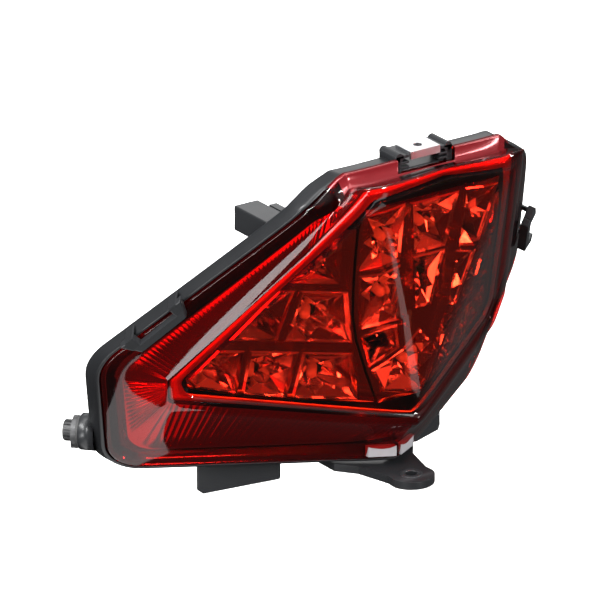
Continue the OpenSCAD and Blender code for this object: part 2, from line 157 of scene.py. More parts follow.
# ---- Housing ------------------------------------------------------------------------------------
# The black tub behind the lens, injection moulded in polypropylene with a fine satin grain. Its rim
# follows the swept edge of the lens, and the tab, feet, lugs, loops and latch are moulded on.
NOSE_Y, NOSE_Z = -5.0, 30.0
FACE_LEAN, WING_SLOPE, FOLD_SPREAD = 0.17, 0.788, 0.311
RIM_LEAN, RIM_SLOPE, TOP_STEP = 0.19, 0.81, 10.5
POLE_Z = 92.0
rim_outline = [(0, 158.5), (43, 157, 5), (61.5, 143, 14), (117.5, 53, 24),
               (103, -7, 16), (22, 1.2, 8), (0, 2.2)]


def soft(t, r):
    return (t + math.sqrt(t * t + r * r) - r) / 2


def rim_y(x, z):
    return (NOSE_Y + 13.7 - RIM_LEAN * (z - NOSE_Z) + RIM_SLOPE * soft(abs(x) - FOLD_SPREAD * (z - 1), 12)
            + TOP_STEP / (1 + math.exp((146 - z) / 2)))


def inward(a, b):
    d = Vector((b[0] - a[0], b[1] - a[1])).normalized()
    return Vector((d.y, -d.x))


def inset(outline, d):
    """The same half outline, moved inwards by d."""
    moved = [(0, outline[0][1] + d / inward(outline[0], outline[1]).y)]
    for before, here, after in zip(outline, outline[1:], outline[2:]):
        n1, n2 = inward(before, here), inward(here, after)
        p = Vector(here[:2]) + d * (n1 + n2) / (1 + n1.dot(n2))
        moved.append((p.x, p.y, max(here[2] - d, 1.5)))
    moved.append((0, outline[-1][1] + d / inward(outline[-2], outline[-1]).y))
    return moved


def loop_of(outline, arc_steps, edge_steps):
    """Full loop of points round a half outline, with the same count for any two outlines."""
    half = [Vector(outline[0])]
    last = half[0]
    corners = list(zip(outline, outline[1:], outline[2:]))
    for i, (before, here, after) in enumerate(corners):
        n1, n2 = inward(before, here), inward(here, after)
        length = here[2] * (n1 - n2).length / (n1 + n2).length
        corner = Vector(here[:2])
        start = corner - (corner - Vector(before[:2])).normalized() * length
        centre = start + here[2] * n1
        angle, turn = math.atan2(-n1.y, -n1.x), math.acos(min(1, n1.dot(n2)))
        half += [last.lerp(start, k / edge_steps[i]) for k in range(1, edge_steps[i])]
        for k in range(arc_steps + 1):
            a = angle - turn * k / arc_steps
            half.append(centre + here[2] * Vector((math.cos(a), math.sin(a))))
        last = half[-1]
    end = Vector(outline[-1])
    half += [last.lerp(end, k / edge_steps[-1]) for k in range(1, edge_steps[-1] + 1)]
    return half + [Vector((-p.x, p.y)) for p in half[-2:0:-1]]


def on_rim(loop, depth):
    return [(p.x, rim_y(p.x, p.y) + depth, p.y) for p in loop]


def loft(name, rings, front=None, back=None, closed=False):
    """A mesh through matching rings given in millimetres, with a pole at each end or joined up."""
    bm = bmesh.new()
    rows = [[bm.verts.new(Vector(p) * MM) for p in ring] for ring in rings]
    pairs = list(zip(rows, rows[1:])) + ([(rows[-1], rows[0])] if closed else [])
    for a, b in pairs:
        for i in range(len(a)):
            k = (i + 1) % len(a)
            bm.faces.new((a[i], b[i], b[k], a[k]))
    for pole, row in ((front, rows[0]), (back, rows[-1])):
        if pole is not None:
            tip = bm.verts.new(Vector(pole) * MM)
            for i in range(len(row)):
                bm.faces.new((tip, row[i], row[(i + 1) % len(row)]))
    bmesh.ops.recalc_face_normals(bm, faces=bm.faces)
    mesh = bpy.data.meshes.new(name)
    bm.to_mesh(mesh)
    bm.free()
    mesh.polygons.foreach_set("use_smooth", [True] * len(mesh.polygons))
    piece = bpy.data.objects.new(name, mesh)
    scene.collection.objects.link(piece)
    return piece


def slab(name, outline, thickness, place=Matrix(), holes=(), bevel=0.5):
    """A flat plate with rounded edges: an outline in its own plane, holes, and a thickness upwards."""
    bm = bmesh.new()
    loops = [list(outline)] + [list(hole) for hole in holes]
    flat = [[Vector((p[0], p[1], 0)) for p in loop] for loop in loops]
    low = [[bm.verts.new(place @ p * MM) for p in loop] for loop in flat]
    high = [[bm.verts.new(place @ (p + Vector((0, 0, thickness))) * MM) for p in loop] for loop in flat]
    below, above = [v for row in low for v in row], [v for row in high for v in row]
    for tri in tessellate_polygon(flat):
        bm.faces.new([above[i] for i in tri])
        bm.faces.new([below[i] for i in reversed(tri)])
    for a, b in zip(low, high):
        for i in range(len(a)):
            k = (i + 1) % len(a)
            bm.faces.new((a[i], a[k], b[k], b[i]))
    bmesh.ops.recalc_face_normals(bm, faces=bm.faces)
    mesh = bpy.data.meshes.new(name)
    bm.to_mesh(mesh)
    bm.free()
    piece = bpy.data.objects.new(name, mesh)
    scene.collection.objects.link(piece)
    if bevel:
        edge = piece.modifiers.new("rounded_edges", "BEVEL")
        edge.width, edge.segments, edge.limit_method = bevel * MM, 2, "ANGLE"
        edge.angle_limit = math.radians(35)
    return piece


def circle(radius, x=0, y=0, steps=48):
    return [(x + radius * math.cos(2 * math.pi * k / steps),
             y + radius * math.sin(2 * math.pi * k / steps)) for k in range(steps)]


def turned(name, profile, place=Matrix(), steps=48):
    """A closed ring turned about the local Z axis from (radius, height) points."""
    rings = [[place @ Vector((r * math.cos(2 * math.pi * k / steps),
                              r * math.sin(2 * math.pi * k / steps), h))
              for k in range(steps)] for r, h in profile]
    return loft(name, rings, closed=True)


def moulded_black(name, colour, roughness, grain_size, grain_depth, sheen_patches):
    """Dark moulded plastic or rubber: fine grain, slow changes in gloss, and sharp edges painted paler as a
    highlight.
    """
    black = bpy.data.materials.new(name)
    black.use_nodes = True
    tree = black.node_tree
    nodes, links = tree.nodes, tree.links
    nodes.clear()
    place = nodes.new("ShaderNodeTexCoord")
    place.label, place.location = "place on the moulding", (-1100, 0)
    grain_frame = nodes.new("NodeFrame")
    grain_frame.label, grain_frame.location = "moulded grain", (-850, -350)
    grain = nodes.new("ShaderNodeTexNoise")
    grain.label, grain.location, grain.parent = "grain of the mould steel", (-850, -400), grain_frame
    grain_bump = nodes.new("ShaderNodeBump")
    grain_bump.label, grain_bump.location = "height of the grain", (-550, -400)
    grain_bump.parent = grain_frame
    gloss_frame = nodes.new("NodeFrame")
    gloss_frame.label, gloss_frame.location = "uneven gloss", (-850, 50)
    flow = nodes.new("ShaderNodeTexNoise")
    flow.label, flow.location, flow.parent = "flow of the melt", (-850, 0), gloss_frame
    gloss = nodes.new("ShaderNodeMapRange")
    gloss.label, gloss.location, gloss.parent = "satin to half gloss", (-550, 0), gloss_frame
    edge_highlight_frame = nodes.new("NodeFrame")
    edge_highlight_frame.label, edge_highlight_frame.location = "painted highlight on sharp edges", (-850, 400)
    edge = nodes.new("ShaderNodeNewGeometry")
    edge.label, edge.location, edge.parent = "sharp edges", (-850, 400), edge_highlight_frame
    painted_edge_highlight = nodes.new("ShaderNodeValToRGB")
    painted_edge_highlight.label, painted_edge_highlight.location, painted_edge_highlight.parent = "black to painted edge highlight", (-600, 400), edge_highlight_frame
    bsdf = nodes.new("ShaderNodeBsdfPrincipled")
    bsdf.label, bsdf.location = "moulded surface", (-200, 0)
    out = nodes.new("ShaderNodeOutputMaterial")
    out.label, out.location = "surface", (150, 0)
    grain.inputs["Scale"].default_value = 1 / (grain_size * MM)
    grain.inputs["Detail"].default_value = 3
    grain_bump.inputs["Strength"].default_value = grain_depth
    grain_bump.inputs["Distance"].default_value = 0.05 * MM
    flow.inputs["Scale"].default_value = 60
    gloss.inputs["To Min"].default_value = roughness - sheen_patches
    gloss.inputs["To Max"].default_value = roughness + sheen_patches
    bsdf.inputs["Specular IOR Level"].default_value = 0.35
    # Convex edges are painted paler than the flat faces: a painted highlight along every sharp edge.
    painted_edge_highlight.color_ramp.elements[0].position, painted_edge_highlight.color_ramp.elements[0].color = 0.5, (*colour, 1)
    painted_edge_highlight.color_ramp.elements[1].position = 0.68
    painted_edge_highlight.color_ramp.elements[1].color = (*[2.2 * c + 0.01 for c in colour], 1)
    links.new(place.outputs["Object"], grain.inputs["Vector"])
    links.new(grain.outputs["Fac"], grain_bump.inputs["Height"])
    links.new(grain_bump.outputs["Normal"], bsdf.inputs["Normal"])
    links.new(place.outputs["Object"], flow.inputs["Vector"])
    links.new(flow.outputs["Fac"], gloss.inputs["Value"])
    links.new(gloss.outputs["Result"], bsdf.inputs["Roughness"])
    links.new(edge.outputs["Pointiness"], painted_edge_highlight.inputs["Fac"])
    links.new(painted_edge_highlight.outputs["Color"], bsdf.inputs["Base Color"])
    links.new(bsdf.outputs["BSDF"], out.inputs["Surface"])
    return black


black_pp = moulded_black("black_pp", (0.0075, 0.008, 0.009), 0.34, 0.35, 0.35, 0.06)


def on_housing(piece):
    piece.data.materials.append(black_pp)
    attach(piece, "root")


shell_steps = (8, [9, 4, 22, 9, 20, 4])


step_z, step_height = 149, 4


def along_top(ring, rise, back):
    """The ring, moved up and back where it runs along the top of the lamp."""
    moved = []
    for x, y, z in ring:
        t = min(1, max(0, (z - step_z) / step_height))
        moved.append((x, y + back * t, z + rise * t))
    return moved


def shell_ring(d, depth):
    return along_top(on_rim(loop_of(inset(rim_outline, d), *shell_steps), depth), -1.7, 2.5)


tub_depth, floor_t, rim_w = 29.0, 2.5, 1.6
housing_shell = loft("housing_shell", [
    shell_ring(28, tub_depth - floor_t), shell_ring(16.5, tub_depth - floor_t - 4), shell_ring(7.5, 10),
    shell_ring(9, 4), shell_ring(9, 1.5), shell_ring(rim_w - 0.2, 1.5), shell_ring(rim_w - 0.2, -0.7),
    shell_ring(rim_w - 0.5, -1), shell_ring(0.4, -1), shell_ring(0.1, -0.7), shell_ring(0, 0),
    shell_ring(0, 7), shell_ring(0.3, 8.2), shell_ring(1.2, 9.4), shell_ring(4, 13),
    shell_ring(14, tub_depth - 5), shell_ring(20, tub_depth - 2.2), shell_ring(26, tub_depth)],
    front=(0, rim_y(0, POLE_Z) + tub_depth - floor_t, POLE_Z), back=(0, rim_y(0, POLE_Z) + tub_depth, POLE_Z))
on_housing(housing_shell)
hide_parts("housing")


def cut_out(piece, low, high):
    """Cut a box, given in millimetres, out of a finished piece."""
    bm = bmesh.new()
    bmesh.ops.create_cube(bm, size=1)
    for v in bm.verts:
        v.co = Vector([(l + (c + 0.5) * (h - l)) * MM for l, h, c in zip(low, high, v.co)])
    mesh = bpy.data.meshes.new("cutter")
    bm.to_mesh(mesh)
    bm.free()
    cutter = bpy.data.objects.new("cutter", mesh)
    scene.collection.objects.link(cutter)
    cut = piece.modifiers.new("cut", "BOOLEAN")
    cut.operation, cut.solver, cut.object = "DIFFERENCE", "EXACT", cutter
    bpy.context.view_layer.objects.active = piece
    bpy.ops.object.modifier_apply(modifier=cut.name)
    bpy.data.objects.remove(cutter)


# The notch in the middle of the top wall, which the latch bar bridges.
notch_w, notch_z = 31.0, 151.6
notch_box = (-notch_w / 2, -14, notch_z), (notch_w / 2, 10, notch_z + 12)
cut_out(housing_shell, *notch_box)


# ---- Mounting tab and feet ----------------------------------------------------------------------
# The flat tab under the nose takes an M5 screw, and a thin raised ring takes the screw's washer. Two
# swept foot plates stand under the wings. All are part of the housing's moulding.
tab_t, tab_r, tab_bore_r = 4.0, 10.8, 2.75
around = [math.radians(a) for a in range(188, 353, 6)]
tab_outline = ([(-22, 46), (-22, 29), (-15, 20), (-tab_r + 0.5, 3)]
               + [(tab_r * math.cos(a), tab_r * math.sin(a)) for a in around]
               + [(tab_r - 0.5, 3), (15, 20), (22, 29), (22, 46)])
on_housing(slab("tab", tab_outline, tab_t - 0.3, Matrix.Translation((0, 0, -tab_t)),
                holes=[circle(tab_bore_r)], bevel=0.8))
on_housing(turned("tab_washer_ring", [(tab_bore_r + 0.1, -0.6), (5.2, -0.6), (5.2, -0.15), (5.0, 0), (3.1, 0),
                                      (tab_bore_r + 0.1, -0.3)]))
foot_outline = [(0, 4), (38, 4), (38, -17), (35, -19), (0, -11)]
foot_at, foot_turn, foot_t = (37, 50, 0), math.radians(37.5), 3
for side, mirrored in (("right", 1), ("left", -1)):
    flip = Matrix.Scale(mirrored, 4, (1, 0, 0))
    plate = (flip @ Matrix.Translation(foot_at) @ Matrix.Rotation(foot_turn, 4, "Z")
             @ Matrix.Rotation(math.radians(90), 4, "X") @ Matrix.Translation((0, 0, -foot_t / 2)))
    on_housing(slab(side + "_foot", foot_outline, foot_t, plate, bevel=0.7))


# ---- Rear lugs ----------------------------------------------------------------------------------
# A square lug and a thin tab stand behind each shoulder, and locate the lamp in the tail cowl.
def block(name, low, high, place=Matrix(), bevel=0.6):
    outline = [(low[0], low[1]), (high[0], low[1]), (high[0], high[1]), (low[0], high[1])]
    return slab(name, outline, high[2] - low[2], place @ Matrix.Translation((0, 0, low[2])), bevel=bevel)


for side, mirrored in (("right", 1), ("left", -1)):
    flip = Matrix.Scale(mirrored, 4, (1, 0, 0))
    on_housing(block(side + "_lug", (44, 32, 112), (57, 58, 124), flip, bevel=0.9))
    on_housing(block(side + "_lug_tab", (38, 18, 114), (42, 52, 123), flip))


# ---- Side loops ---------------------------------------------------------------------------------
# A loop stands on each slanted rim: two arms that swell into the rim and a thin bar across them. A
# spring clip of the cowl hooks into the slot between bar and rim.
slot_len, slot_w, loop_arm, loop_bar = 24.0, 5.0, 5.0, 3.5
loop_front, loop_back = -6.4, -2.4
loop_x, loop_z = 103, 82
edge_run, edge_drop = 53, 93
loop_depth = Vector((-RIM_SLOPE, 1, RIM_LEAN + RIM_SLOPE * FOLD_SPREAD)).normalized()
loop_along = Vector((edge_run, RIM_SLOPE * edge_run + (RIM_LEAN + RIM_SLOPE * FOLD_SPREAD) * edge_drop,
                     -edge_drop)).normalized()
loop_up = loop_depth.cross(loop_along)
loop_place = Matrix.Translation((loop_x, rim_y(loop_x, loop_z), loop_z)) @ Matrix(
    (loop_along, loop_up, loop_depth)).transposed().to_4x4()
half_slot = slot_len / 2
bar_low, bar_high = slot_w + rim_w - 0.8, slot_w + rim_w - 0.8 + loop_bar
for side, mirrored in (("right", 1), ("left", -1)):
    place = Matrix.Scale(mirrored, 4, (1, 0, 0)) @ loop_place
    bar_outline = [(-half_slot - loop_arm, bar_low), (half_slot + loop_arm, bar_low),
                   (half_slot + loop_arm - 2, bar_high), (-half_slot - loop_arm + 2, bar_high)]
    on_housing(slab(side + "_loop_bar", bar_outline, loop_back - loop_front,
                    place @ Matrix.Translation((0, 0, loop_front)), bevel=0.6))
    for end in (-1, 1):
        inner, outer = end * half_slot, end * (half_slot + loop_arm)
        arm_outline = [(inner, 0.6), (outer + end * 3.2, 0.6), (outer, bar_low + 0.4), (inner, bar_low + 0.4)]
        on_housing(slab(f"{side}_loop_arm_{'upper' if end < 0 else 'lower'}", arm_outline,
                        loop_back - loop_front, place @ Matrix.Translation((0, 0, loop_front)), bevel=0.5))
        root_outline = [(inner, 0.5), (outer, 0.5), (outer, 1.4), (inner, 1.4)]
        on_housing(slab(f"{side}_loop_root_{'upper' if end < 0 else 'lower'}", root_outline, 10,
                        place @ Matrix.Translation((0, 0, loop_front)), bevel=0.2))


# ---- Top latch ----------------------------------------------------------------------------------
# A bridge moulded across the notch in the top wall: two posts, a bar with a rounded hook at each end
# and two thin rails beside each post. The clip nut sits on the bar.
bar_z, bar_t, bar_front, bar_depth = 157.4, 1.6, -9.0, 13.0
post_x, hook_x, rail_x, post_half, rail_half = 14, 13.2, 11.5, 1.6, 3.5
nut_r, nut_y = 3.4, bar_front + 5
bar_plan = [(-notch_w / 2, bar_front), (notch_w / 2, bar_front), (notch_w / 2, bar_front + bar_depth),
            (-notch_w / 2, bar_front + bar_depth)]
on_housing(slab("latch_bar", bar_plan, bar_t, Matrix.Translation((0, 0, bar_z)),
                holes=[circle(nut_r + 0.2, 0, nut_y)], bevel=0.3))
for side, s in (("right", 1), ("left", -1)):
    on_housing(block(side + "_latch_post", (s * post_x - post_half, bar_front, notch_z - 1),
                     (s * post_x + post_half, bar_front + bar_depth, notch_z + 7)))
    hook_place = (Matrix.Translation((s * hook_x, bar_front, bar_z + 0.6))
                  @ Matrix.Rotation(math.radians(-90), 4, "X"))
    on_housing(slab(side + "_latch_hook", circle(2.2, steps=32), bar_depth, hook_place, bevel=0.4))
    for rail, z in enumerate((1, 3.2)):
        on_housing(block(f"{side}_latch_rail_{rail + 1}", (s * rail_x - rail_half, bar_front, notch_z + z),
                         (s * rail_x + rail_half, bar_front + 4, notch_z + z + 1), bevel=0.25))


# ---- Connector shell and vent -------------------------------------------------------------------
# The harness plugs into a pocket on the back of the tub, and a short vent pipe beside it takes a
# rubber cap. Both are part of the moulding.
shell_depth, floor_depth = 16, 5
connector_place = Matrix.Translation((0, 24.6, 78)) @ Matrix.Rotation(math.radians(-90), 4, "X")
pocket = [(-11, -6), (11, -6), (11, 6), (-11, 6)]
on_housing(slab("connector_shell", [(-13, -8), (13, -8), (13, 8), (-13, 8)], shell_depth, connector_place,
                holes=[pocket], bevel=0.5))
on_housing(slab("connector_floor", [(-11.5, -6.5), (11.5, -6.5), (11.5, 6.5), (-11.5, 6.5)], floor_depth,
                connector_place, bevel=0.2))
vent_r, vent_h = 4, 16
vent_place = Matrix.Translation((26, 45, 58)) @ Matrix.Rotation(math.radians(-90), 4, "X")
on_housing(slab("vent_pipe", circle(vent_r, steps=32), vent_h, vent_place, bevel=0.3))


# ---- Lamp holder bosses -------------------------------------------------------------------------
# A round boss at each wing tip, with the bore that the bulb holder twists into.
socket_turn = math.radians(48)
boss_r, boss_top, socket_bore_r = 8.5, 1.5, 5.0
socket_place = (Matrix.Translation((107, 105, 10)) @ Matrix.Rotation(socket_turn, 4, "Z")
                @ Matrix.Rotation(math.radians(90), 4, "Y"))
for side, mirrored in (("right", 1), ("left", -1)):
    place = Matrix.Scale(mirrored, 4, (1, 0, 0)) @ socket_place
    on_housing(turned(side + "_holder_boss", [
        (socket_bore_r, -2.4), (boss_r, -6), (boss_r, boss_top - 0.5), (boss_r - 0.5, boss_top),
        (socket_bore_r + 0.3, boss_top), (socket_bore_r, boss_top - 0.3)], place))


# ---- Lens ---------------------------------------------------------------------------------------
# One moulding of clear red acrylic: a polished window let in behind a rounded ridge, a fluted border
# that falls away, and a plain flange that sits in the rim of the housing on a bead of sealant.
crest_outline = [(0, 159), (43, 156, 3), (57, 122, 60), (94, 46, 6), (91, 31, 5), (8, 25, 6), (0, 25.5)]
window_outline = [(0, 152), (36, 147, 3), (58, 103, 80), (86.5, 45, 6), (83, 38, 4), (10, 31, 5), (0, 30)]
border_outline = [(0, 151), (40.5, 150, 3), (57, 137, 14), (109, 51, 18),
                  (97, 2, 13), (22, 9.5, 5), (0, 12.5)]
lens_wall = 3.2
lens_steps = (12, [60, 34, 130, 68, 110, 26])


def face_y(x, z):
    return NOSE_Y - FACE_LEAN * (z - NOSE_Z) + WING_SLOPE * soft(abs(x) - FOLD_SPREAD * (z - NOSE_Z), 8)


def lens_loop(outline, d=0.0):
    return loop_of(inset(outline, d), *lens_steps)


def on_face(loop, depth):
    return [(p.x, face_y(p.x, p.y) + depth, p.y) for p in loop]


def shrink(loop, f):
    return [Vector((p.x * f, POLE_Z + (p.y - POLE_Z) * f)) for p in loop]


def between(ring_a, ring_b, t, lift=0.0):
    return [(a[0] + (b[0] - a[0]) * t, a[1] + (b[1] - a[1]) * t + lift, a[2] + (b[2] - a[2]) * t)
            for a, b in zip(ring_a, ring_b)]


def fluted(ring, depth):
    """The same ring, cut into the wall by half-round flutes that fan across the border."""
    return [(p[0], p[1] - depth * arch, p[2]) for p, arch in zip(ring, flute_arch)]


window = lens_loop(window_outline)
window_edge = lens_loop(window_outline, 0.9)
crest = on_face(lens_loop(crest_outline), 0)
border = on_rim(lens_loop(border_outline), -2.2)
flange = inset(rim_outline, rim_w + 0.2)
flute_pitch = 2.6
flute_arch, run = [], 0.0
for p, q in zip(border, border[1:] + border[:1]):
    flute_arch.append(abs(math.sin(math.pi * run / flute_pitch)))
    run += math.dist(p, q)
recess = 1.1
outer_rings = (
    [on_face(shrink(window_edge, k / 20), recess) for k in range(1, 20)]
    + [on_face(window_edge, recess), on_face(lens_loop(window_outline, 0.4), recess - 0.3),
       on_face(window, 0.35)]
    + [between(on_face(window, 0), crest, t, -lift)
       for t, lift in ((0.1, 0.7), (0.25, 1.3), (0.45, 1.7), (0.7, 1.8))]
    + [between(crest, border, t, lift)
       for t, lift in ((0, -1.6), (0.04, -1.2), (0.12, -0.4), (0.3, 0.6), (0.5, 1.1),
                       (0.7, 1.1), (0.86, 0.7), (0.96, 0.2), (1, 0))]
    + [along_top(on_rim(lens_loop(flange, d), depth), 1.7, 0)
       for d, depth in ((0.5, -2.2), (0.1, -2.0), (0, -1.6), (0, 0.3))])
inner_border = on_rim(lens_loop(border_outline, 2.2), 0.3)
inner_crest = on_face(lens_loop(crest_outline, 2.4), lens_wall)
inner_window = lens_loop(window_outline, 0.5)
inner_rings = (
    [between(inner_border, inner_crest, t, 0.6) for t in (0.0, 0.06)]
    + [fluted(between(inner_border, inner_crest, t, 0.6), 0.8) for t in (0.1, 0.3, 0.5, 0.7, 0.9)]
    + [inner_crest]
    + [on_face(shrink(inner_window, f), lens_wall) for f in (1, 0.85, 0.7, 0.55, 0.4, 0.25, 0.12)])
lens = loft("lens_body", outer_rings + inner_rings, front=(0, face_y(0, POLE_Z) + recess, POLE_Z),
            back=(0, face_y(0, POLE_Z) + lens_wall, POLE_Z))
# The tip of the ridge is trimmed where it would stand past the front of the lamp.
for point in lens.data.vertices:
    point.co.y = max(point.co.y, cad_low.y)


def clear_red(name, tint, coat, speckle):
    """Polished red acrylic: light passes through tinted, and the surface reflects more at a slant."""
    red = bpy.data.materials.new(name)
    red.use_nodes = True
    tree = red.node_tree
    nodes, links = tree.nodes, tree.links
    nodes.clear()
    place = nodes.new("ShaderNodeTexCoord")
    place.label, place.location = "place on the lens", (-1200, -200)
    polish_frame = nodes.new("NodeFrame")
    polish_frame.label, polish_frame.location = "polish of the mould", (-1000, -300)
    ripple = nodes.new("ShaderNodeTexNoise")
    ripple.label, ripple.location, ripple.parent = "slow ripple of the polish", (-1000, -300), polish_frame
    ripple_bump = nodes.new("ShaderNodeBump")
    ripple_bump.label, ripple_bump.location = "height of the ripple", (-750, -300)
    ripple_bump.parent = polish_frame
    haze = nodes.new("ShaderNodeMapRange")
    haze.label, haze.location, haze.parent = "faint haze", (-750, -520), polish_frame
    slant_frame = nodes.new("NodeFrame")
    slant_frame.label, slant_frame.location = "reflection grows with slant", (-1000, 200)
    slant = nodes.new("ShaderNodeLayerWeight")
    slant.label, slant.location, slant.parent = "slant of the surface", (-1000, 200), slant_frame
    rise = nodes.new("ShaderNodeMath")
    rise.label, rise.location, rise.parent = "steep rise near the edge", (-800, 200), slant_frame
    rise.operation = "POWER"
    share = nodes.new("ShaderNodeMath")
    share.label, share.location, share.parent = "share that is reflected", (-600, 200), slant_frame
    share.operation = "MULTIPLY_ADD"
    through = nodes.new("ShaderNodeBsdfTransparent")
    through.label, through.location = "red light let through", (-350, 100)
    shine = nodes.new("ShaderNodeBsdfGlossy")
    shine.label, shine.location = "polished face", (-350, -150)
    both = nodes.new("ShaderNodeMixShader")
    both.label, both.location = "let through or reflect", (-100, 0)
    out = nodes.new("ShaderNodeOutputMaterial")
    out.label, out.location = "surface", (150, 0)
    ripple.inputs["Scale"].default_value = speckle
    ripple_bump.inputs["Strength"].default_value = 0.25
    ripple_bump.inputs["Distance"].default_value = 0.02 * MM
    haze.inputs["To Min"].default_value = 0.03
    haze.inputs["To Max"].default_value = 0.09
    slant.inputs["Blend"].default_value = 0.5
    rise.inputs[1].default_value = 4.0
    share.inputs[1].default_value = 0.9
    share.inputs[2].default_value = coat
    through.inputs["Color"].default_value = (*tint, 1)
    links.new(place.outputs["Object"], ripple.inputs["Vector"])
    links.new(ripple.outputs["Fac"], ripple_bump.inputs["Height"])
    links.new(ripple.outputs["Fac"], haze.inputs["Value"])
    links.new(ripple_bump.outputs["Normal"], shine.inputs["Normal"])
    links.new(haze.outputs["Result"], shine.inputs["Roughness"])
    links.new(slant.outputs["Facing"], rise.inputs[0])
    links.new(rise.outputs["Value"], share.inputs[0])
    links.new(share.outputs["Value"], both.inputs["Fac"])
    links.new(through.outputs["BSDF"], both.inputs[1])
    links.new(shine.outputs["BSDF"], both.inputs[2])
    links.new(both.outputs["Shader"], out.inputs["Surface"])
    return red


def fluted_red(name, colour, metal, roughness):
    """The cut inner wall of the border, where the flutes throw the light back out."""
    cut = bpy.data.materials.new(name)
    cut.use_nodes = True
    tree = cut.node_tree
    nodes, links = tree.nodes, tree.links
    nodes.clear()
    place = nodes.new("ShaderNodeTexCoord")
    place.label, place.location = "place on the lens", (-1000, 0)
    depth_frame = nodes.new("NodeFrame")
    depth_frame.label, depth_frame.location = "depth of the red", (-800, 100)
    cloud = nodes.new("ShaderNodeTexNoise")
    cloud.label, cloud.location, cloud.parent = "thick and thin parts", (-800, 100), depth_frame
    depth = nodes.new("ShaderNodeValToRGB")
    depth.label, depth.location, depth.parent = "deep to light red", (-550, 100), depth_frame
    fine_frame = nodes.new("NodeFrame")
    fine_frame.label, fine_frame.location = "tool marks in the flutes", (-800, -300)
    marks = nodes.new("ShaderNodeTexNoise")
    marks.label, marks.location, marks.parent = "tool marks", (-800, -300), fine_frame
    marks_bump = nodes.new("ShaderNodeBump")
    marks_bump.label, marks_bump.location, marks_bump.parent = "height of the marks", (-550, -300), fine_frame
    bsdf = nodes.new("ShaderNodeBsdfPrincipled")
    bsdf.label, bsdf.location = "light thrown back", (-200, 0)
    out = nodes.new("ShaderNodeOutputMaterial")
    out.label, out.location = "surface", (150, 0)
    cloud.inputs["Scale"].default_value = 25
    depth.color_ramp.elements[0].color = (*[0.6 * c for c in colour], 1)
    depth.color_ramp.elements[1].color = (*colour, 1)
    marks.inputs["Scale"].default_value = 900
    marks_bump.inputs["Strength"].default_value = 0.2
    marks_bump.inputs["Distance"].default_value = 0.05 * MM
    bsdf.inputs["Metallic"].default_value = metal
    bsdf.inputs["Roughness"].default_value = roughness
    links.new(place.outputs["Object"], cloud.inputs["Vector"])
    links.new(cloud.outputs["Fac"], depth.inputs["Fac"])
    links.new(depth.outputs["Color"], bsdf.inputs["Base Color"])
    links.new(place.outputs["Object"], marks.inputs["Vector"])
    links.new(marks.outputs["Fac"], marks_bump.inputs["Height"])
    links.new(marks_bump.outputs["Normal"], bsdf.inputs["Normal"])
    links.new(bsdf.outputs["BSDF"], out.inputs["Surface"])
    return cut


lens.data.materials.append(clear_red("red_lens", (0.98, 0.44, 0.34), 0.04, 40))
lens.data.materials.append(clear_red("red_lens_thick", (0.80, 0.10, 0.09), 0.05, 40))
lens.data.materials.append(fluted_red("red_lens_flutes", (0.46, 0.025, 0.03), 0.85, 0.2))
lens.data.materials.append(fluted_red("red_lens_wall", (0.20, 0.012, 0.016), 0.35, 0.16))
# Bands of faces run from the middle of the window to the flange, then back along the inside.
ring_points = len(window)
window_bands, ridge_bands, fluted_bands, lens_top_z = 21, 8, 8, 150.5
thick_bands = len(outer_rings) - 1
flute_bands = thick_bands + fluted_bands
for face in lens.data.polygons:
    band = face.index // ring_points
    if band < window_bands:
        face.material_index = 0
    elif face.center.z > lens_top_z * MM and window_bands + ridge_bands < band < thick_bands:
        face.material_index = 3
    elif band < thick_bands:
        face.material_index = 1
    elif thick_bands < band < flute_bands:
        face.material_index = 2
    elif band == thick_bands:
        face.material_index = 1
cut_out(lens, *notch_box)
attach(lens, "root")
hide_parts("lens")


